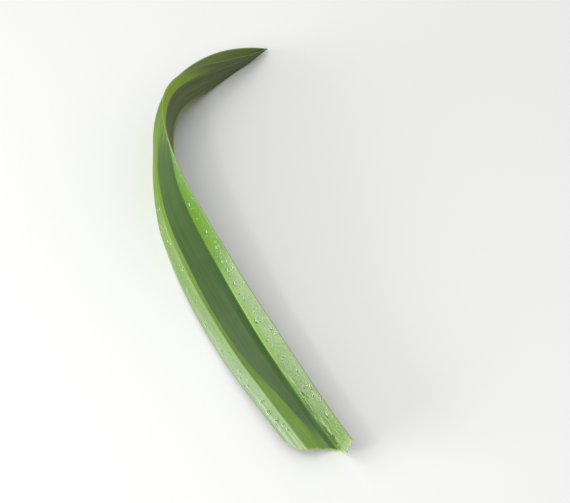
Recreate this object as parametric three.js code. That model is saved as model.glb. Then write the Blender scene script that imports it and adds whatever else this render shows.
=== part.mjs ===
// Pandan leaf: one long strap-shaped leaf, cut slantwise at its foot and
// lying on a level surface. It is folded to a trough along its midrib, has a
// second soft pleat in its left half, and curls over sideways to an acute tip.
// Millimetres and degrees, +Z up, origin at the middle of the box's underside.

import * as THREE from 'three';

// Leaf as if pressed flat
const leafLength = 400; // from the cut to the tip, along the midrib
const leafWidth = 54.4; // margin to margin where it is widest
const footWidthShare = 0.94; // how wide the foot is, against the widest place
const footWideningShare = 0.25; // share of the length in which it reaches full width
const tipLengthShare = 0.2; // share of the length that narrows to the tip
const tipHalfWidth = 0.5; // blunt end of the tip
const tipRoundness = 1.8; // 1 gives straight sides to the tip, 2 full ones

// Thickness of the blade
const bladeThickness = 0.8;
const midribThickness = 1.9;
const midribHalfWidth = 2.6; // how far the thick midrib reaches to each side
const marginThickness = 0.62;
const marginThinning = 6; // the blade thins over this last stretch to the margin

// How the leaf lies: angles along it, with 0 at the foot and 1 at the tip
const headingAtFoot = 33; // direction of the midrib, left of +Y
const sweepToRight = 14.4; // even bend over the whole length
const hookToRight = 66; // extra bend of the upper half
const hookSpan = [0.441, 0.995];
const leanAtFoot = 34.4; // left margin down, right margin up
const leanMore = 44.5; // further lean in the middle
const leanMoreSpan = [0.095, 0.766];
const leanBack = 79; // and back again towards the tip
const leanBackSpan = [0.652, 1.04];

// Folds: slope of each half from the midrib, and of the two outer strips
const foldAtFoot = 58.7;
const foldOpening = 56.8; // the trough opens towards the middle
const foldOpeningSpan = [-0.095, 1.03];
const foldClosing = 58.5; // and closes again in the hook
const foldClosingSpan = [0.542, 1.04];
const midribRounding = 0.05; // share of the half width that the midrib's curve takes
const leftPleatPlace = 0.7; // share of the half width, from the midrib
const leftPleatWidth = 0.07;
const leftPleatAngle = 37.5; // the outer strip bends down by this at the foot
const leftPleatEasing = 16.5; // and by this much less in the middle
const leftPleatEasingSpan = [0, 0.45];
const leftPleatFadeSpan = [0.62, 0.9];
const rightCurlPlace = 0.86;
const rightCurlWidth = 0.12;
const rightCurlAngle = 5; // slight outward curl of the right margin
const rightCurlFadeSpan = [0, 0.85];

// Resting places along the leaf: foot, bend and tip, with a little air between
const restPlaces = [0.06, 0.56, 0.93];
const restHalfLength = 9; // length of each flat spot, to each side of its middle
const restFlattening = 0.4; // depth of the flat spot
const airBetweenRests = 1.6;
const tipRise = 1.2;

// Slanted cut across the foot: the right margin keeps its whole length
const cutBesideMidrib = 12.5; // how much of the blade is cut away left of the midrib
const midribStub = 5.8; // the tough midrib stands out of the cut by this
const midribStubSpan = [-0.06, 0.1]; // columns over which the stub's slanted end runs
const cutSlantLeft = 8.5; // how much more is cut away towards the left margin
const cutSlantRight = 6.7; // and how much less towards the right one
const cutCornerColumn = 0.72; // the left corner is rounded off from here
const cutCornerLoss = 9;
const cutRaggedness = 0.5; // small unevenness of the cut
const cutFadeShare = 0.2; // share of the length in which the slant fades out

// Faceting
const stationCount = 92; // along the leaf
const leftColumns = [1, 0.965, 0.92, 0.86, 0.79, 0.735, 0.7, 0.665, 0.58, 0.44, 0.28, 0.13, 0.05, 0.025];
const rightColumns = [0.025, 0.05, 0.1, 0.28, 0.45, 0.6, 0.74, 0.82, 0.88, 0.94, 1];
const sectionSteps = 60; // fine steps in which each half's curve is summed

const leafColor = 0x7fa54e;
const leafRoughness = 0.42;

const radians = THREE.MathUtils.degToRad;

// Soft step from 0 at the span's start to 1 at its end
function step(span, x) {
  return THREE.MathUtils.smoothstep(x, span[0], span[1]);
}

function headingAt(along) {
  return radians(headingAtFoot - sweepToRight * along - hookToRight * step(hookSpan, along));
}

function leanAt(along) {
  const lean = leanAtFoot + leanMore * step(leanMoreSpan, along) - leanBack * step(leanBackSpan, along);
  return radians(lean);
}

function foldAt(along) {
  const opened = foldAtFoot - foldOpening * step(foldOpeningSpan, along);
  return radians(opened + foldClosing * step(foldClosingSpan, along));
}

function leftPleatAt(along) {
  const angle = leftPleatAngle - leftPleatEasing * step(leftPleatEasingSpan, along);
  return radians(angle * (1 - step(leftPleatFadeSpan, along)));
}

function rightCurlAt(along) {
  return radians(rightCurlAngle * (1 - step(rightCurlFadeSpan, along)));
}

function halfWidthAt(along) {
  const foot = footWidthShare + (1 - footWidthShare) * step([0, footWideningShare], along);
  const toTip = THREE.MathUtils.clamp((1 - along) / tipLengthShare, 0, 1);
  const half = (leafWidth / 2) * foot * (1 - (1 - toTip) ** tipRoundness) ** 0.95;
  return Math.max(half, tipHalfWidth);
}

// Height of the leaf's lowest point above the surface it lies on. Below zero
// at the resting places, where the underside is flattened by as much.
function clearanceAt(along) {
  let clearance = 0;
  for (let i = 0; i < restPlaces.length - 1; i++) {
    const between = (along - restPlaces[i]) / (restPlaces[i + 1] - restPlaces[i]);
    if (between > 0 && between < 1) clearance += airBetweenRests * Math.sin(Math.PI * between) ** 2;
  }
  for (const place of restPlaces) {
    const away = Math.abs(along - place) * leafLength;
    clearance -= restFlattening * (1 - step([restHalfLength * 0.6, restHalfLength * 1.6], away));
  }
  return clearance + tipRise * step([restPlaces[2], 1], along);
}

// Slope of the section at a column. A column is -1 at the left margin, 0 at
// the midrib and 1 at the right margin.
function slopeAt(along, column) {
  const out = Math.abs(column);
  const half = foldAt(along) * step([0, midribRounding], out);
  if (column < 0) {
    const span = [leftPleatPlace - leftPleatWidth / 2, leftPleatPlace + leftPleatWidth / 2];
    return half - leftPleatAt(along) * step(span, out);
  }
  const span = [rightCurlPlace - rightCurlWidth / 2, rightCurlPlace + rightCurlWidth / 2];
  return half - rightCurlAt(along) * step(span, out);
}

// One half's curve in the plane across the leaf, summed in small steps out
// from the midrib: across and up at each step
function halfCurve(along, side) {
  const length = halfWidthAt(along) / sectionSteps;
  const curve = [[0, 0]];
  for (let i = 0; i < sectionSteps; i++) {
    const slope = slopeAt(along, (side * (i + 0.5)) / sectionSteps);
    const [across, up] = curve[i];
    curve.push([across + side * length * Math.cos(slope), up + length * Math.sin(slope)]);
  }
  return curve;
}

// Turns a point of the section by the leaf's lean
function leaned(across, up, lean) {
  return [across * Math.cos(lean) - up * Math.sin(lean), across * Math.sin(lean) + up * Math.cos(lean)];
}

function pointOnCurve(curve, share) {
  const place = Math.abs(share) * sectionSteps;
  const low = Math.min(Math.floor(place), sectionSteps - 1);
  const part = place - low;
  return [0, 1].map((k) => curve[low][k] * (1 - part) + curve[low + 1][k] * part);
}

function thicknessAt(along, column) {
  const half = halfWidthAt(along);
  const fromMidrib = Math.abs(column) * half;
  const fromMargin = half - fromMidrib;
  const toTip = Math.min(half / (leafWidth / 4), 1);
  const midrib = (midribThickness - bladeThickness) * (1 - step([0, midribHalfWidth], fromMidrib)) * toTip;
  const margin = (bladeThickness - marginThickness) * (1 - step([0, marginThinning], fromMargin));
  return bladeThickness + midrib - margin;
}

// Midrib's route on the surface, summed in small steps from the cut
const routeSteps = 800;
const route = [[0, 0]];
for (let i = 0; i < routeSteps; i++) {
  const heading = headingAt((i + 0.5) / routeSteps);
  const [x, y] = route[i];
  const length = leafLength / routeSteps;
  route.push([x - length * Math.sin(heading), y + length * Math.cos(heading)]);
}

function midribPlace(along) {
  const place = along * routeSteps;
  const low = Math.min(Math.floor(place), routeSteps - 1);
  const part = place - low;
  return [0, 1].map((k) => route[low][k] * (1 - part) + route[low + 1][k] * part);
}

// The matching point of the under face, one thickness along the section's normal
function underside(across, up, along, column) {
  const slope = slopeAt(along, column) * (column < 0 ? -1 : 1);
  const thickness = thicknessAt(along, column);
  return [across + thickness * Math.sin(slope), up - thickness * Math.cos(slope)];
}

// Height of a section's lowest point under its midrib
function lowestInSection(along) {
  const lean = leanAt(along);
  let lowest = Infinity;
  for (const side of [-1, 1]) {
    halfCurve(along, side).forEach(([across, up], i) => {
      const under = underside(across, up, along, (side * i) / sectionSteps);
      lowest = Math.min(lowest, leaned(...under, lean)[1]);
    });
  }
  return lowest;
}

// The same along the leaf, averaged over a short stretch, because a leaf is too
// stiff for the sudden change where it comes to lie on another of its folds
const lowestPlaces = 250;
const stiffStretch = 15; // places to each side
const lowestAlong = [];
for (let place = -stiffStretch; place <= lowestPlaces + stiffStretch; place++) {
  lowestAlong.push(lowestInSection(place / lowestPlaces));
}
const lowestSmooth = [];
for (let place = 0; place <= lowestPlaces; place++) {
  const stretch = lowestAlong.slice(place, place + 2 * stiffStretch + 1);
  lowestSmooth.push(stretch.reduce((sum, height) => sum + height, 0) / stretch.length);
}

// Value between the entries of an even list, at a share from 0 to 1 of its length
function between(list, share) {
  const place = share * (list.length - 1);
  const low = Math.min(Math.floor(place), list.length - 2);
  return THREE.MathUtils.lerp(list[low], list[low + 1], place - low);
}

// A point of the leaf in its frame, on the upper or the under face
function leafPoint(along, column, face) {
  let [across, up] = pointOnCurve(halfCurve(along, column < 0 ? -1 : 1), column);
  if (face === 'under') [across, up] = underside(across, up, along, column);
  const [sideways, height] = leaned(across, up, leanAt(along));
  const heading = headingAt(along);
  const [x, y] = midribPlace(along);
  const z = Math.max(height - between(lowestSmooth, along) + clearanceAt(along), 0);
  return [x + sideways * Math.cos(heading), y + sideways * Math.sin(heading), z];
}

// How far from the leaf's foot the cut lies at a column
function cutDistance(column) {
  const out = Math.abs(column);
  const intoCorner = Math.max(out - cutCornerColumn, 0) / (1 - cutCornerColumn);
  const left = cutSlantLeft * out + cutCornerLoss * intoCorner ** 2;
  const slant = column < 0 ? left : -cutSlantRight * out;
  const ragged = 1 + 0.6 * Math.sin(column * 23) + 0.4 * Math.sin(column * 41 + 1);
  return cutBesideMidrib - midribStub * step(midribStubSpan, column) + slant + cutRaggedness * ragged;
}

function alongAt(station, column) {
  const along = station / stationCount;
  const fade = Math.max(1 - along / cutFadeShare, 0);
  return along + (cutDistance(column) / leafLength) * fade;
}

const columns = [...leftColumns.map((share) => -share), 0, ...rightColumns];

// Both faces as grids of points, joined by a narrow strip all the way round.
// Each square of the two grids is split the same way.
function bladeGeometry() {
  const positions = [];
  for (const face of ['upper', 'under']) {
    for (let station = 0; station <= stationCount; station++) {
      for (const column of columns) {
        positions.push(...leafPoint(alongAt(station, column), column, face));
      }
    }
  }
  const rowLength = columns.length;
  const faceSize = rowLength * (stationCount + 1);
  const upper = (station, column) => station * rowLength + column;
  const under = (station, column) => faceSize + upper(station, column);
  const triangles = [];
  const square = (a, b, c, d) => triangles.push(a, b, c, a, c, d);
  for (let s = 0; s < stationCount; s++) {
    for (let c = 0; c < rowLength - 1; c++) {
      square(upper(s, c), upper(s, c + 1), upper(s + 1, c + 1), upper(s + 1, c));
      triangles.push(under(s, c), under(s + 1, c + 1), under(s, c + 1));
      triangles.push(under(s, c), under(s + 1, c), under(s + 1, c + 1));
    }
    const last = rowLength - 1;
    square(upper(s, 0), upper(s + 1, 0), under(s + 1, 0), under(s, 0));
    square(upper(s, last), under(s, last), under(s + 1, last), upper(s + 1, last));
  }
  for (let c = 0; c < rowLength - 1; c++) {
    square(upper(0, c), under(0, c), under(0, c + 1), upper(0, c + 1));
    const s = stationCount;
    square(upper(s, c), upper(s, c + 1), under(s, c + 1), under(s, c));
  }
  const geometry = new THREE.BufferGeometry();
  geometry.setAttribute('position', new THREE.Float32BufferAttribute(positions, 3));
  geometry.setIndex(triangles);
  geometry.computeBoundingBox();
  const box = geometry.boundingBox;
  geometry.translate(-(box.min.x + box.max.x) / 2, -(box.min.y + box.max.y) / 2, -box.min.z);
  geometry.computeVertexNormals();
  return geometry;
}

const leafMaterial = new THREE.MeshStandardMaterial({
  color: leafColor,
  roughness: leafRoughness,
  metalness: 0,
});

const blade = new THREE.Mesh(bladeGeometry(), leafMaterial);
blade.name = 'leaf_blade';

const leaf = new THREE.Group();
leaf.add(blade);

export default leaf;
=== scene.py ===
# One cut pandan leaf, still wet from rinsing, lying on a pale floor
import math
import random
import bpy
import numpy as np
from mathutils import Matrix, Vector


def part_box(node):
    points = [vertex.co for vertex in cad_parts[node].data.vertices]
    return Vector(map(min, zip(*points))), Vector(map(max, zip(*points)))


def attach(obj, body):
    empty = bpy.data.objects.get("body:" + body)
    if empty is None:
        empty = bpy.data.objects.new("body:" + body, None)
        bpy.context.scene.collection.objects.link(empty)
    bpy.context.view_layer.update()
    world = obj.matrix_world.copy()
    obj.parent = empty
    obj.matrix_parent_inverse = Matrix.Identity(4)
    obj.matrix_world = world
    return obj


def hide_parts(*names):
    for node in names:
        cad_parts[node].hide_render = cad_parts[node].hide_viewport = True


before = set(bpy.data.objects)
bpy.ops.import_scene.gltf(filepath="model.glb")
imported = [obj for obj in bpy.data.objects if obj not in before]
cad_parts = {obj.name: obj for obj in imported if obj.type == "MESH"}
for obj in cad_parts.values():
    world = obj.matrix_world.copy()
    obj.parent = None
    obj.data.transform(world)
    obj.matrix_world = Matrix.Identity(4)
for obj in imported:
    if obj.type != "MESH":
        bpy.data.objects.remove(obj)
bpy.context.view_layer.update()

print("stage: frame loaded")

mm = 0.001  # a millimetre in scene units


# Camera: looks down on the leaf as the photograph does, cut foot nearest

cameraSetup = {
    "elevation": 50,  # degrees above the floor
    "distance": 800,  # mm, as is all that follows
    "lens": 80,
    "sensorWidth": 36,
    "nearClip": 10,
    "lookAt": (27.2, -26.5, 10),
}


def makeCamera(setup):
    data = bpy.data.cameras.new("camera")
    data.lens = setup["lens"]
    data.sensor_width = setup["sensorWidth"]
    data.clip_start = setup["nearClip"] * mm
    camera = bpy.data.objects.new("camera", data)
    bpy.context.collection.objects.link(camera)
    lift = math.radians(setup["elevation"])
    back = Vector((0, -math.cos(lift), math.sin(lift)))
    camera.location = (Vector(setup["lookAt"]) + back * setup["distance"]) * mm
    camera.rotation_euler = back.to_track_quat("Z", "Y").to_euler()
    bpy.context.scene.camera = camera


makeCamera(cameraSetup)


# Leaf: a folded strap. "along" runs from 0 at the foot to 1 at the tip, and
# "column" from -1 at the left margin over 0 at the midrib to 1 at the right.
# Lengths are in mm, angles in degrees, spans are the start and end of a change.

leafForm = {
    "length": 400,
    "width": 54.4,
    "footWidthShare": 0.94,
    "footWideningSpan": (0, 0.25),
    "tipLengthShare": 0.2,
    "tipHalfWidth": 0.5,
    "tipRoundness": 1.8,
    "widthCurve": 0.95,  # below 1 keeps the blade a little fuller towards its tip
    "bladeThickness": 0.6,
    "midribThickness": 1.8,
    "midribHalfWidth": 2.6,
    "midribThinningShare": 0.5,  # of the blade's width; it thins where the blade is narrower
    "marginThickness": 0.35,
    "marginThinning": 5,
    "headingAtFoot": 33,  # left of +Y
    "sweepToRight": 14.4,
    "hookToRight": 66,
    "hookSpan": (0.441, 0.995),
    "leanAtFoot": 34.4,  # left margin down, right margin up
    "leanMore": 44.5,
    "leanMoreSpan": (0.095, 0.766),
    "leanBack": 79,
    "leanBackSpan": (0.652, 1.04),
    "foldAtFoot": 58.7,  # slope of each half, rising from the midrib
    "foldOpening": 56.8,
    "foldOpeningSpan": (-0.095, 1.03),
    "foldClosing": 58.5,
    "foldClosingSpan": (0.542, 1.04),
    "midribRounding": 0.05,
    "pleatSpan": (0.665, 0.735),  # soft pleat in the left half
    "pleatAngle": 37.5,
    "pleatEasing": 16.5,
    "pleatEasingSpan": (0, 0.45),
    "pleatFadeSpan": (0.62, 0.9),
    "curlSpan": (0.8, 0.92),  # slight curl of the right margin
    "curlAngle": 5,
    "curlFadeSpan": (0, 0.85),
    "restPlaces": (0.06, 0.56, 0.93),  # where the leaf touches the floor
    "airBetweenRests": 1.6,
    "tipRise": 1.2,
    "stiffStretch": 0.06,  # share of the length over which its height evens out
    "cutBesideMidrib": 12.5,  # slanted cut: mm of the blade gone left of the midrib
    "midribStub": 5.8,  # the tough midrib stands out of the cut by this
    "midribStubSpan": (-0.06, 0.1),
    "cutSlantLeft": 8.5,
    "cutSlantRight": 6.7,
    "cutCornerColumn": 0.72,  # the left corner is rounded off from here
    "cutCornerLoss": 9,
    "cutRaggedness": 0.5,
    "cutWaves": ((0.6, 23, 0), (0.4, 41, 1)),  # share, rate and shift of each
    "cutFibreShare": 0.35,
    "cutFibreWaves": ((130, 0), (57, 2)),  # rate and shift of each
    "cutFadeShare": 0.2,  # the sections are square to the leaf again from here
    "tornFibre": {"column": -0.715, "width": 0.02, "length": 2.4},
    "ribSpacing": 2.4,  # between the stronger parallel veins
    "ribHeight": 0.04,
    "ribShift": 0.4,
    "underRibHeight": 0.09,
    "underRibShift": 1.3,
    "ribUnevenness": {"swing": 0.4, "rate": 0.37},  # in height, rate against the ribs' own
    "ribDrift": {"swing": 0.5, "rate": 0.21},  # in spacing
    "buckleHeight": 0.24,  # where all the slow waves of the blade meet, mostly half of it
    "buckleWaves": ((95, 60), (61, 34), (43, 47), (29, 22)),  # lengths along and across
    "buckleSeed": 11,
    "stations": 300,  # sections along the leaf
    "columnSpans": (  # the column where a stretch starts, and its number of strips
        (-1, 20), (-0.8, 24), (-0.6, 28), (-0.08, 22), (0.08, 34), (0.8, 16), (1, 1)),
    "sharpAngle": 50,  # faces that meet at more than this are shaded apart
    "slopeSteps": 60,  # from the midrib out to a point of the section
    "routeSteps": 800,
    "lowestSamples": (250, 121),  # along and across, where the under face's height is read
}


def softStep(span, x):
    t = np.clip((x - span[0]) / (span[1] - span[0]), 0, 1)
    return t * t * (3 - 2 * t)


def headingAt(along):
    f = leafForm
    turn = f["sweepToRight"] * along + f["hookToRight"] * softStep(f["hookSpan"], along)
    return np.radians(f["headingAtFoot"] - turn)


def leanAt(along):
    f = leafForm
    more = f["leanMore"] * softStep(f["leanMoreSpan"], along)
    back = f["leanBack"] * softStep(f["leanBackSpan"], along)
    return np.radians(f["leanAtFoot"] + more - back)


def slopeAt(along, column):
    f = leafForm
    out = np.abs(column)
    fold = f["foldAtFoot"] - f["foldOpening"] * softStep(f["foldOpeningSpan"], along)
    fold = fold + f["foldClosing"] * softStep(f["foldClosingSpan"], along)
    pleat = f["pleatAngle"] - f["pleatEasing"] * softStep(f["pleatEasingSpan"], along)
    pleat = pleat * (1 - softStep(f["pleatFadeSpan"], along)) * softStep(f["pleatSpan"], out)
    curl = f["curlAngle"] * (1 - softStep(f["curlFadeSpan"], along)) * softStep(f["curlSpan"], out)
    bend = np.where(column < 0, pleat, curl)
    return np.radians(fold * softStep((0, f["midribRounding"]), out) - bend)


def halfWidthAt(along):
    f = leafForm
    foot = f["footWidthShare"] + (1 - f["footWidthShare"]) * softStep(f["footWideningSpan"], along)
    toTip = np.clip((1 - along) / f["tipLengthShare"], 0, 1)
    rounded = (1 - (1 - toTip) ** f["tipRoundness"]) ** f["widthCurve"]
    return np.maximum(f["width"] / 2 * foot * rounded, f["tipHalfWidth"])


def thicknessAt(along, column):
    f = leafForm
    half = halfWidthAt(along)
    fromMidrib = np.abs(column) * half
    full = np.minimum(half / (f["width"] / 2 * f["midribThinningShare"]), 1)
    midrib = (f["midribThickness"] - f["bladeThickness"]) * full
    midrib = midrib * (1 - softStep((0, f["midribHalfWidth"]), fromMidrib))
    margin = f["bladeThickness"] - f["marginThickness"]
    margin = margin * (1 - softStep((0, f["marginThinning"]), half - fromMidrib))
    return f["bladeThickness"] + midrib - margin


def sectionPoint(along, column, lift):
    # sums the blade's slopes out from the midrib, then goes off its face by lift
    steps = leafForm["slopeSteps"]
    side = np.where(column < 0, -1, 1)
    piece = halfWidthAt(along) * np.abs(column) / steps
    across = np.zeros_like(piece)
    up = np.zeros_like(piece)
    for i in range(steps):
        slope = slopeAt(along, column * (i + 0.5) / steps)
        across += side * piece * np.cos(slope)
        up += piece * np.sin(slope)
    slope = slopeAt(along, column) * side
    return across - lift * np.sin(slope), up + lift * np.cos(slope)


def leanedSection(along, column, lift):
    across, up = sectionPoint(along, column, lift)
    lean = leanAt(along)
    sideways = across * np.cos(lean) - up * np.sin(lean)
    height = across * np.sin(lean) + up * np.cos(lean)
    return sideways, height


def evenedLowest():
    # how far each section reaches under its midrib, evened out along the leaf
    places, placesAcross = leafForm["lowestSamples"]
    stretch = int(leafForm["stiffStretch"] * places)
    along = np.arange(-stretch, places + stretch + 1) / places
    alongs, columns = np.meshgrid(along, np.linspace(-1, 1, placesAcross), indexing="ij")
    _, height = leanedSection(alongs, columns, -thicknessAt(alongs, columns))
    window = np.ones(2 * stretch + 1) / (2 * stretch + 1)
    return np.linspace(0, 1, places + 1), np.convolve(height.min(axis=1), window, "valid")


def midribRoute():
    # the midrib's path over the floor, in mm, stepped along the leaf
    steps = leafForm["routeSteps"]
    heading = headingAt((np.arange(steps) + 0.5) / steps)
    piece = leafForm["length"] / steps
    x = np.concatenate([[0], np.cumsum(-piece * np.sin(heading))])
    y = np.concatenate([[0], np.cumsum(piece * np.cos(heading))])
    return np.linspace(0, 1, steps + 1), x, y


lowestPlaces, lowestHeights = evenedLowest()
routePlaces, routeX, routeY = midribRoute()


def clearanceAt(along):
    # the air under the leaf between the places where it rests, in mm
    rests = leafForm["restPlaces"]
    clearance = leafForm["tipRise"] * softStep((rests[-1], 1), along)
    for near, far in zip(rests[:-1], rests[1:]):
        share = np.clip((along - near) / (far - near), 0, 1)
        clearance = clearance + leafForm["airBetweenRests"] * np.sin(math.pi * share) ** 2
    return clearance


def leafPoint(along, column, lift):
    # a place in metres; lift in mm is off the smooth upper face
    sideways, height = leanedSection(along, column, lift)
    heading = headingAt(along)
    x = np.interp(along, routePlaces, routeX) + sideways * np.cos(heading)
    y = np.interp(along, routePlaces, routeY) + sideways * np.sin(heading)
    z = height - np.interp(along, lowestPlaces, lowestHeights) + clearanceAt(along)
    return np.stack([x, y, np.maximum(z, 0)], axis=-1) * mm


def cutDistance(column):
    # how far up the leaf the cut lies at each column, in mm
    f = leafForm
    out = np.abs(column)
    corner = np.maximum(out - f["cutCornerColumn"], 0) / (1 - f["cutCornerColumn"])
    left = f["cutSlantLeft"] * out + f["cutCornerLoss"] * corner ** 2
    slant = np.where(column < 0, left, -f["cutSlantRight"] * out)
    ragged = 1 + sum(share * np.sin(column * rate + shift) for share, rate, shift in f["cutWaves"])
    fibres = f["cutFibreShare"]
    for rate, shift in f["cutFibreWaves"]:
        fibres = fibres * np.sin(column * rate + shift)
    torn = f["tornFibre"]
    spike = torn["length"] * np.exp(-((column - torn["column"]) / torn["width"]) ** 2)
    stub = f["midribStub"] * softStep(f["midribStubSpan"], column)
    return f["cutBesideMidrib"] - stub + slant + f["cutRaggedness"] * (ragged + fibres) - spike


def buckleAt(along, column):
    # slow waves of the blade, so that it doesn't shine like bent sheet metal
    f = leafForm
    rng = random.Random(f["buckleSeed"])
    total = np.zeros_like(along)
    for lengthwise, crosswise in f["buckleWaves"]:
        phase = 2 * math.pi * (along * f["length"] / lengthwise + rng.random())
        total += np.sin(phase + column * f["width"] / 2 / crosswise * 2 * math.pi)
    return total / len(f["buckleWaves"]) * f["buckleHeight"]


def ribAt(column, shift):
    # parallel veins of uneven height and spacing, from -1 to 1
    f = leafForm
    uneven = f["ribUnevenness"]
    drift = f["ribDrift"]
    phase = 2 * math.pi * column * f["width"] / 2 / f["ribSpacing"]
    height = 1 - uneven["swing"] + uneven["swing"] * np.sin(phase * uneven["rate"] + shift)
    return np.cos(phase + drift["swing"] * np.sin(phase * drift["rate"] + shift)) * height


def leafLift(along, column, underFace):
    # how far a face of the real blade lies off the smooth upper face, in mm
    f = leafForm
    buckle = buckleAt(along, column)
    if underFace:
        ribs = f["underRibHeight"] * ribAt(column, f["underRibShift"])
        return buckle - thicknessAt(along, column) - ribs
    return buckle + f["ribHeight"] * ribAt(column, f["ribShift"])


def gridFaces(rows, columns, start, flipped):
    # quads between rows of vertices, the first of which has the number start
    first = start + np.arange(rows - 1)[:, None] * columns + np.arange(columns - 1)[None]
    quads = np.stack([first, first + 1, first + columns + 1, first + columns], axis=-1).reshape(-1, 4)
    return quads[:, ::-1] if flipped else quads


def rimFaces(upper, under):
    # a strip between two matching rows of vertices
    return np.stack([upper[:-1], under[:-1], under[1:], upper[1:]], axis=-1)


def meshObject(name, vertices, faces, material):
    mesh = bpy.data.meshes.new(name)
    mesh.from_pydata(vertices, [], faces)
    mesh.materials.append(material)
    mesh.shade_smooth()
    piece = bpy.data.objects.new(name, mesh)
    bpy.context.collection.objects.link(piece)
    return piece


def leafColumns():
    spans = leafForm["columnSpans"]
    parts = [np.linspace(near, far, count, endpoint=False)
             for (near, count), (far, _) in zip(spans[:-1], spans[1:])]
    return np.concatenate(parts + [[1]])


def leafValues(shares, alongs, columns, look):
    # what the blade's material reads: places in mm, the column and which face it is
    f = leafForm
    half = halfWidthAt(alongs)
    bandEdge = np.interp(alongs, look["bandEdgeAlong"], look["bandEdgeColumn"])
    bandSoft = 1 + look["bandSoftness"] * (1 - softStep(look["bandSoftSpan"], alongs))
    values = {
        "across": columns * f["width"] / 2,
        "along": alongs * f["length"],
        "column": columns,
        "fromMargin": (1 - np.abs(columns)) * half,
        "fromMidrib": np.abs(columns) * half,
        "fromCut": shares * f["length"],
        "fromBandEdge": (-columns - bandEdge) * f["width"] / 2 / bandSoft,
    }
    values = {name: np.tile(value.ravel(), 2) for name, value in values.items()}
    values["underFace"] = np.repeat([0, 1], columns.size)
    return values


def makeLeaf(material, look):
    f = leafForm
    share = np.linspace(0, 1, f["stations"] + 1)
    shares, columns = np.meshgrid(share, leafColumns(), indexing="ij")
    # the slanted cut pushes the first sections up the leaf
    cut = cutDistance(columns) / f["length"] * np.maximum(1 - shares / f["cutFadeShare"], 0)
    alongs = shares + cut
    upper = leafPoint(alongs, columns, leafLift(alongs, columns, False))
    under = leafPoint(alongs, columns, leafLift(alongs, columns, True))
    vertices = np.concatenate([upper.reshape(-1, 3), under.reshape(-1, 3)])
    rows, wide = shares.shape
    count = rows * wide
    number = np.arange(count).reshape(rows, wide)
    rims = (number[0], number[::-1, 0], number[:, -1], number[-1, ::-1])
    faces = [gridFaces(rows, wide, 0, False), gridFaces(rows, wide, count, True)]
    faces += [rimFaces(rim, rim + count) for rim in rims]
    leaf = meshObject("pandan_leaf", vertices.tolist(), np.concatenate(faces).tolist(), material)
    leaf.data.set_sharp_from_angle(angle=math.radians(f["sharpAngle"]))
    for name, value in leafValues(shares, alongs, columns, look).items():
        layer = leaf.data.attributes.new(name, "FLOAT", "POINT")
        layer.data.foreach_set("value", value.astype(np.float32))
    return leaf


# Shader tools

def hexColour(code):
    # an sRGB hex value as linear red, green and blue, with full alpha
    def linear(value):
        return value / 12.92 if value <= 0.04045 else ((value + 0.055) / 1.055) ** 2.4
    return tuple(linear(int(code[i:i + 2], 16) / 255) for i in (1, 3, 5)) + (1,)


def addNode(tree, kind, inputs, settings=None, output=0):
    # an input is a socket to link from or a plain value; gives the output socket.
    # Sockets of Math and Mix share names, so they go by their numbers
    node = tree.nodes.new("ShaderNode" + kind)
    for name, value in (settings or {}).items():
        setattr(node, name, value)
    for name, value in inputs.items():
        if isinstance(value, bpy.types.NodeSocket):
            tree.links.new(value, node.inputs[name])
        else:
            node.inputs[name].default_value = value
    return node.outputs[output]


def newMaterial(name):
    material = bpy.data.materials.new(name)
    material.use_nodes = True
    return material, material.node_tree.nodes["Principled BSDF"]


# Leaf blade: fresh monocot leaf. A thin waxy cuticle over parallel veins gives
# it a satin shine, drawn out along its length, and light glows through a little

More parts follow.
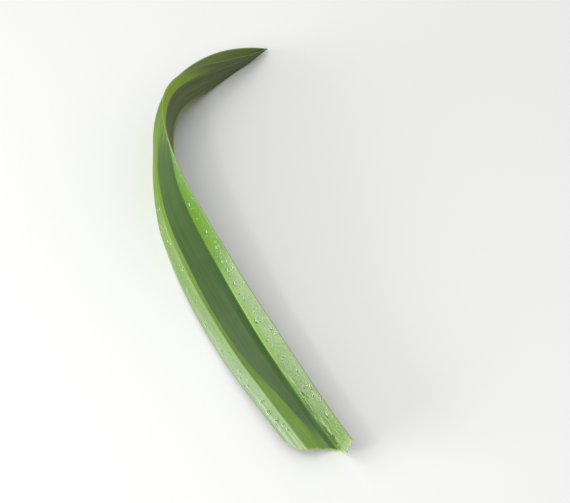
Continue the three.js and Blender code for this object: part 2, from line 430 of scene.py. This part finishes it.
bladeLook = {
    "ior": 1.4,
    "roughness": 0.4,
    "underRoughness": 0.6,
    "wetRoughness": 0.14,
    "roughnessSpread": 0.14,  # what the mist's pattern adds at most
    "glow": 0.25,  # how much light spreads inside the tissue
    "glowReach": 0.5,  # mm
    "glowRadius": (0.7, 1.0, 0.25),
    "veinDepth": 0.03,  # mm
    "veinBump": 0.8,
    "streakLength": 70,  # mm; tones that change along the leaf run on further in some veins,
    "streakMiddle": 0.5,  # those where the strong veins' pattern is under this
    "drawnOutPatterns": {  # mm across and along the leaf, noise detail and roughness
        "veins": (0.9, 70, 2, 0.6),  # real fine veins are about 0.4 mm and wouldn't show
        "strongVeins": (2.6, 130, 1, 0.5),
        "patches": (5, 17, 3, 0.55),  # of the film of water near the cut
    },
    "evenPatterns": {  # mm, noise detail
        "mottle": (18, 3),
        "mist": (1, 2),  # real mist beads are finer and wouldn't show
    },
    "tones": {  # pattern, the part of its range that counts, and the tone at either end
        "veins": ("veins", 0.3, 0.7, 0.93, 1.07),
        "strongVeins": ("strongVeins", 0.3, 0.7, 0.95, 1.05),
        "underVeins": ("strongVeins", 0.3, 0.7, 0.8, 1.2),  # under face, where they stand out more
        "mottle": ("mottle", 0.3, 0.7, 0.95, 1.05),
        "mist": ("mist", 0.35, 0.65, 0.78, 1.18),
    },
    "wetStreakSpan": (0.5, 0.62),  # of the veins, where the film runs on along them
    # the yellow-green band starts this far left of the midrib, along the leaf
    "bandEdgeAlong": (0.03, 0.06, 0.09, 0.13, 0.17, 0.25, 0.33, 0.42),
    "bandEdgeColumn": (0.3, 0.32, 0.35, 0.4, 0.49, 0.6, 0.62, 0.6),
    "bandSoftness": 8,  # its edge is wider by this many times at the foot
    "bandSoftSpan": (0.03, 0.14),
    "zones": {  # what is read, and where on it the zone starts and is full
        "band": ("fromBandEdge", -0.3, 0.3),
        "paleStrip": ("column", -0.69, -0.71),
        "rightHalf": ("column", -0.004, 0.006),
        "midribSide": ("column", -0.2, -0.015),
        "besideMidrib": ("column", 0.35, 0.1),
        "pleatCrest": ("column", -0.8, -0.75),
        "leftMargin": ("column", -0.8, -0.94),
        "footPart": ("streakyAlong", 175, 75),
        "rightMiddle": ("streakyAlong", 205, 165),
        "rightFoot": ("streakyAlong", 165, 125),
        "footEnd": ("along", 110, 25),
        "cutEnd": ("along", 36, 18),
        "bend": ("streakyAlong", 190, 250),
        "hook": ("streakyAlong", 258, 290),
        "tip": ("streakyAlong", 290, 350),
        "marginLine": ("fromMargin", 1.0, 0.3),
        "upper": ("underFace", 0.6, 0.4),
        "under": ("underFace", 0.4, 0.6),
        "keel": ("fromMidrib", 2.2, 0.9),
        "rightMargin": ("column", 0.65, 0.71),
        "cutFlesh": ("fromCut", 0.9, 0.3),
        "wet": ("patches", 0.41, 0.49),
    },
    "layers": [  # each lies over those before it, where all its zones hold
        (("footPart",), "#667b59"),  # greyer and lighter towards the foot: painted sheen
        # lighter near the cut: painted light over the shade in the trough there
        (("cutEnd",), "#86a072"),
        (("hook",), "#5f8214"),
        (("midribSide",), "#395b1c"),  # painted shade down in the fold
        # lighter towards the foot, where less painted shade lies in the fold
        (("midribSide", "footPart"), "#42632f"),
        (("midribSide", "footEnd"), "#6e8d5c"),
        (("band",), "#6f9140"),  # yellow-green, between the fold and the pleat: painted light glowing through the blade
        # more painted light through the blade near the foot
        (("band", "footEnd"), "#89a858"),
        (("paleStrip",), "#7c9b58"),  # beyond the pleat, paler with painted sheen
        # painted highlight along the pleat's crest
        (("paleStrip", "pleatCrest"), "#86a15b"),
        # more painted sheen towards the foot
        (("paleStrip", "footPart"), "#97b37f"),
        # bluish-white painted sheen by the left margin
        (("paleStrip", "footPart", "leftMargin"), "#a2b799"),
        # painted highlights along the streaks of the water film
        (("paleStrip", "footEnd", "wetStreak"), "#b9cf96"),
        # the band's painted light through the blade, more yellow at the bend
        (("band", "bend"), "#61840a"),
        (("rightHalf",), "#598a10"),
        # paler down the right half: painted sheen
        (("rightHalf", "rightMiddle"), "#68922c"),
        (("rightHalf", "rightFoot"), "#93ac7c"),  # misted, and paler with painted sheen
        # brighter beside the midrib: painted light over the shade of the fold
        (("rightHalf", "rightFoot", "besideMidrib"), "#8fb65c"),
        # lighter near the cut: painted highlight
        (("rightHalf", "cutEnd"), "#87a566"),
        # painted highlight beside the midrib at the foot
        (("rightHalf", "footEnd", "besideMidrib"), "#bfd79c"),
        # wet patches, where the painted sheen is left out
        (("rightHalf", "footEnd", "besideMidrib", "wet"), "#6c9838"),
        # darker olive at the tip: painted shade
        (("tip",), "#5f7038"),
        # paler margin line: painted light glowing through the thin edge
        (("marginLine",), "#8aa56a"),
        # under face darker olive: painted shade
        (("under",), "#546134"),
        # lighter along the keel: painted light on the ridge
        (("under", "keel"), "#788b4c"),
        # yellow-green margin at the bend: painted light glowing through the blade
        (("under", "rightMargin", "bend"), "#88a92f"),
        # painted shade on the under face at the tip
        (("under", "tip"), "#55603a"),
        (("cutFlesh",), "#aebb80"),  # bare tissue at the cut
    ],
    "blade": "#405d25",
}


def makeBladeMaterial(look):
    material, shader = newMaterial("fresh_pandan_blade")
    tree = material.node_tree
    # all that zones and tones are worked out from: the mesh's values, then the patterns
    read = {}
    for name in ("across", "along", "column", "fromMargin", "fromMidrib", "fromCut", "fromBandEdge",
                 "underFace"):
        read[name] = addNode(tree, "Attribute", {}, {"attribute_name": name}, "Fac")
    for name, (wide, long, detail, roughness) in look["drawnOutPatterns"].items():
        x = addNode(tree, "Math", {0: read["across"], 1: wide}, {"operation": "DIVIDE"})
        y = addNode(tree, "Math", {0: read["along"], 1: long}, {"operation": "DIVIDE"})
        place = addNode(tree, "CombineXYZ", {"X": x, "Y": y, "Z": read["underFace"]})
        read[name] = addNode(tree, "TexNoise", {
            "Vector": place, "Scale": 1, "Detail": detail, "Roughness": roughness})
    place = addNode(tree, "TexCoord", {}, output="Object")
    for name, (size, detail) in look["evenPatterns"].items():
        read[name] = addNode(tree, "TexNoise", {
            "Vector": place, "Scale": 1 / (size * mm), "Detail": detail})
    lead = addNode(tree, "Math", {0: read["strongVeins"], 1: look["streakMiddle"]},
                   {"operation": "SUBTRACT"})
    read["streakyAlong"] = addNode(tree, "Math", {0: lead, 1: look["streakLength"], 2: read["along"]},
                                   {"operation": "MULTIPLY_ADD"})

    zone = {}
    for name, (value, start, full) in look["zones"].items():
        zone[name] = addNode(tree, "MapRange", {
            "Value": read[value], "From Min": start, "From Max": full},
            {"interpolation_type": "SMOOTHSTEP"})
    start, full = look["wetStreakSpan"]
    zone["wetStreak"] = addNode(tree, "MapRange", {
        "Value": read["veins"], "From Min": start, "From Max": full})

    def whereAllHold(*names):
        # 1 only where all of these zones are full
        mask = zone[names[0]]
        for name in names[1:]:
            mask = addNode(tree, "Math", {0: mask, 1: zone[name]}, {"operation": "MULTIPLY"})
        return mask

    # tone: the patterns' shares of light and dark, multiplied
    tone = {}
    for name, (value, start, full, dark, light) in look["tones"].items():
        tone[name] = addNode(tree, "MapRange", {
            "Value": read[value], "From Min": start, "From Max": full, "To Min": dark, "To Max": light})
    strong = addNode(tree, "Mix", {0: zone["under"], 2: tone["strongVeins"], 3: tone["underVeins"]},
                     {"data_type": "FLOAT"})
    dry = addNode(tree, "Math", {0: tone["veins"], 1: strong}, {"operation": "MULTIPLY"})
    dry = addNode(tree, "Math", {0: dry, 1: tone["mottle"]}, {"operation": "MULTIPLY"})
    misted = addNode(tree, "Math", {0: dry, 1: tone["mist"]}, {"operation": "MULTIPLY"})
    mistMask = whereAllHold("rightHalf", "rightFoot", "upper")
    allTones = addNode(tree, "Mix", {0: mistMask, 2: dry, 3: misted}, {"data_type": "FLOAT"})

    colour = hexColour(look["blade"])
    for names, code in look["layers"]:
        colour = addNode(tree, "Mix", {0: whereAllHold(*names), 6: colour, 7: hexColour(code)},
                         {"data_type": "RGBA"}, 2)
    colour = addNode(tree, "Mix", {0: 1.0, 6: colour, 7: allTones},
                     {"data_type": "RGBA", "blend_type": "MULTIPLY"}, 2)

    # gloss: satin above, duller below, and smooth where a film of water lies
    roughness = addNode(tree, "MapRange", {
        "Value": zone["under"], "To Min": look["roughness"], "To Max": look["underRoughness"]})
    roughness = addNode(tree, "Math", {0: read["mist"], 1: look["roughnessSpread"], 2: roughness},
                        {"operation": "MULTIPLY_ADD"})
    zone["film"] = addNode(tree, "Math", {0: whereAllHold("paleStrip", "wetStreak"), 1: zone["wet"]},
                           {"operation": "MAXIMUM"})
    film = whereAllHold("film", "footEnd", "upper")
    roughness = addNode(tree, "Mix", {0: film, 2: roughness, 3: look["wetRoughness"]},
                        {"data_type": "FLOAT"})
    bump = addNode(tree, "Bump", {
        "Height": read["veins"], "Strength": look["veinBump"], "Distance": look["veinDepth"] * mm})

    tree.links.new(colour, shader.inputs["Base Color"])
    tree.links.new(roughness, shader.inputs["Roughness"])
    tree.links.new(bump, shader.inputs["Normal"])
    shader.inputs["IOR"].default_value = look["ior"]
    shader.inputs["Subsurface Weight"].default_value = look["glow"]
    shader.inputs["Subsurface Scale"].default_value = look["glowReach"] * mm
    shader.inputs["Subsurface Radius"].default_value = look["glowRadius"]
    return material


leaf = makeLeaf(makeBladeMaterial(bladeLook), bladeLook)
low, high = (np.array(corner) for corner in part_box("leaf_blade"))
corners = np.array([corner[:] for corner in leaf.bound_box])
# centred over the frame's box; the leaf is already at the floor's height
leafShift = (low + high) / 2 - (corners.min(axis=0) + corners.max(axis=0)) / 2
leafShift[2] = 0
leaf.data.transform(Matrix.Translation(Vector(leafShift)))
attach(leaf, "root")
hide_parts("leaf_blade")
print("stage: leaf made, moved in mm by", leafShift / mm)


# Water drops: clear beads left by rinsing, standing on the waxy upper face

dropRules = {
    "seed": 5,
    "chosen": [  # mm along, column and radius of the larger ones
        (200, 0.3, 1.2), (187, 0.35, 0.9), (172, 0.54, 1.2), (159, 0.56, 1.0), (151, 0.39, 1.4),
        (143, 0.45, 1.3), (137, 0.82, 1.2), (134, 0.4, 1.9), (129, 0.3, 1.3), (122, 0.43, 1.5),
        (107, 0.31, 2.0), (103, 0.5, 1.3), (93, 0.28, 1.3), (90, 0.83, 1.6), (85, 0.86, 1.2),
        (80, 0.31, 1.1), (75, 0.5, 1.0), (59, 0.73, 1.2), (51, 0.25, 1.8), (47, 0.36, 1.3),
        (44, 0.84, 1.9), (41, 0.66, 1.2), (33, 0.9, 1.3), (26, 0.68, 2.2), (18, 0.22, 1.9),
        (14.5, 0.1, 1.3), (155, -0.88, 1.1), (126, -0.92, 1.0), (104, -0.92, 1.2),
        (85, -0.84, 1.3), (81, -0.92, 1.3), (74, -0.89, 1.1), (60, -0.85, 1.8),
        (52, -0.88, 1.8), (45, -0.84, 1.5), (40, -0.8, 1.2),
    ],
    "groups": [  # columns and mm along the leaf between which more drops are tried
        {"columns": (0.1, 0.95), "along": (12, 165), "tries": 200, "radius": (0.28, 0.9)},
        {"columns": (0.15, 0.9), "along": (165, 225), "tries": 18, "radius": (0.3, 0.7)},
        {"columns": (-0.97, -0.75), "along": (32, 225), "tries": 90, "radius": (0.28, 0.9)},
    ],
    "smallness": 1.5,  # above 1 makes small ones more common
    "spacing": 1.25,  # least distance, against both radii together
    "height": 0.42,  # of the radius
    "heightSpread": (0.85, 1.15),
    "crownArc": 60,  # degrees of a circle from crown to edge, before the height is set
    "rootDepth": 0.12,  # mm sunk into the blade, so that no gap shows
    "sag": 0.25,  # how far a drop hangs downhill, against its height
    "stretch": (0.9, 1.25),
    "runStretch": (1.0, 2.0),  # on the left half, where drops have started to run
    "wobble": ((0.06, 2), (0.04, 3)),  # share of the radius, and waves round the edge
    "slopeProbe": (0.5, 0.01),  # mm along and column on either side of a drop
    "sides": 16,
    "rings": 5,
}
waterLook = {"colour": "#dcedc0", "roughness": 0.02, "ior": 1.333, "transmission": 1}


def makeWaterMaterial(look):
    # clean water: smooth and refracting, with a faint green of the leaf it stands on
    material, shader = newMaterial("clear_water")
    shader.inputs["Base Color"].default_value = hexColour(look["colour"])
    shader.inputs["Roughness"].default_value = look["roughness"]
    shader.inputs["IOR"].default_value = look["ior"]
    shader.inputs["Transmission Weight"].default_value = look["transmission"]
    return material


def dropPlaces(rules):
    rng = random.Random(rules["seed"])
    places = list(rules["chosen"])
    for group in rules["groups"]:
        small, large = group["radius"]
        for _ in range(group["tries"]):
            along = rng.uniform(*group["along"])
            column = rng.uniform(*group["columns"])
            radius = small * (large / small) ** (rng.random() ** rules["smallness"])
            apart = [math.hypot(along - a, (column - c) * leafForm["width"] / 2) / (radius + r)
                     for a, c, r in places]
            if min(apart) > rules["spacing"]:
                places.append((along, column, radius))
    return places


def surfaceAt(along, column):
    # the leaf's upper face at a place given in mm along and column
    along = np.array(along / leafForm["length"])
    column = np.array(column)
    return Vector(leafPoint(along, column, leafLift(along, column, False)) + leafShift)


def dropShape(rules, rng, along, column, radius):
    # a root point under the blade, rings from the sunk edge up, and the crown
    centre = surfaceAt(along, column)
    probe, columnProbe = rules["slopeProbe"]
    lengthwise = (surfaceAt(along + probe, column) - surfaceAt(along - probe, column)).normalized()
    crosswise = surfaceAt(along, column + columnProbe) - surfaceAt(along, column - columnProbe)
    outward = crosswise.cross(lengthwise).normalized()
    crosswise = lengthwise.cross(outward).normalized()
    downhill = Vector((0, 0, -1)) + outward * outward.z
    stretch = rng.uniform(*rules["stretch" if column > 0 else "runStretch"])
    shifts = [rng.uniform(0, 2 * math.pi) for _ in rules["wobble"]]
    tall = rules["height"] * rng.uniform(*rules["heightSpread"])
    arc = math.radians(rules["crownArc"])
    rings = [(1, -rules["rootDepth"] / radius)]
    for ring in range(rules["rings"]):
        angle = arc * (1 - ring / rules["rings"])
        reach = math.sin(angle) / math.sin(arc)
        rings.append((reach, tall * (math.cos(angle) - math.cos(arc)) / (1 - math.cos(arc))))
    points = [centre - outward * rules["rootDepth"] * mm]
    for reach, rise in rings:
        for side in range(rules["sides"]):
            turn = 2 * math.pi * side / rules["sides"]
            wobble = 1 + sum(share * math.sin(waves * turn + shift)
                             for (share, waves), shift in zip(rules["wobble"], shifts))
            flat = lengthwise * math.cos(turn) * stretch + crosswise * math.sin(turn) / stretch
            hang = downhill * max(rise, 0) * rules["sag"]
            points.append(centre + (flat * reach * wobble + outward * rise + hang) * radius * mm)
    points.append(centre + (outward + downhill * rules["sag"]) * tall * radius * mm)
    return points


def dropFaces(rules, start):
    sides = rules["sides"]
    last = start + 1 + rules["rings"] * sides
    faces = []
    for side in range(sides):
        after = (side + 1) % sides
        faces.append((start, start + 1 + after, start + 1 + side))
        for first in range(start + 1, last, sides):
            faces.append((first + side, first + after, first + sides + after, first + sides + side))
        faces.append((last + side, last + after, last + sides))
    return faces


def makeDrops(rules, material):
    rng = random.Random(rules["seed"] + 1)
    vertices = []
    faces = []
    for along, column, radius in dropPlaces(rules):
        faces += dropFaces(rules, len(vertices))
        vertices += dropShape(rules, rng, along, column, radius)
    return meshObject("water_drops", vertices, faces, material)


drops = makeDrops(dropRules, makeWaterMaterial(waterLook))
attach(drops, "root")
print("stage: drops made")


# Floor and light: white board under an even sky, a low wide window on the left,
# a softer lamp above it and a small one that puts a glint on the drops

floorSetup = {"size": 6, "colour": "#f8f8f7", "roughness": 0.85}  # metres
lightSetup = {
    "sky": {"colour": "#ffffff", "strength": 0.69},
    "lamps": [  # metres, watts
        {"name": "left_window", "from": (-1.25, -0.68, 0.34), "size": (1.1, 0.55), "power": 14},
        {"name": "upper_left", "from": (-0.65, -0.18, 1.15), "size": (0.6, 0.6), "power": 3},
        {"name": "sparkle", "from": (-0.5, -0.65, 0.9), "size": (0.12, 0.12), "power": 0.9},
    ],
}


def makeFloor(setup):
    material, shader = newMaterial("white_board")
    shader.inputs["Base Color"].default_value = hexColour(setup["colour"])
    shader.inputs["Roughness"].default_value = setup["roughness"]
    reach = setup["size"] / 2
    corners = [(-reach, -reach, 0), (reach, -reach, 0), (reach, reach, 0), (-reach, reach, 0)]
    meshObject("floor", corners, [(0, 1, 2, 3)], material)


def makeLights(setup):
    world = bpy.data.worlds.new("studio")
    world.use_nodes = True
    sky = world.node_tree.nodes["Background"]
    sky.inputs["Color"].default_value = hexColour(setup["sky"]["colour"])
    sky.inputs["Strength"].default_value = setup["sky"]["strength"]
    bpy.context.scene.world = world
    for lamp in setup["lamps"]:
        data = bpy.data.lights.new(lamp["name"], "AREA")
        data.shape = "RECTANGLE"
        data.size, data.size_y = lamp["size"]
        data.energy = lamp["power"]
        light = bpy.data.objects.new(lamp["name"], data)
        light.location = lamp["from"]
        light.rotation_euler = Vector(lamp["from"]).to_track_quat("Z", "Y").to_euler()
        bpy.context.collection.objects.link(light)


makeFloor(floorSetup)
makeLights(lightSetup)
bpy.context.scene.view_settings.view_transform = "Standard"  # keeps the greens as fresh as they are
print("stage: floor and lights made")
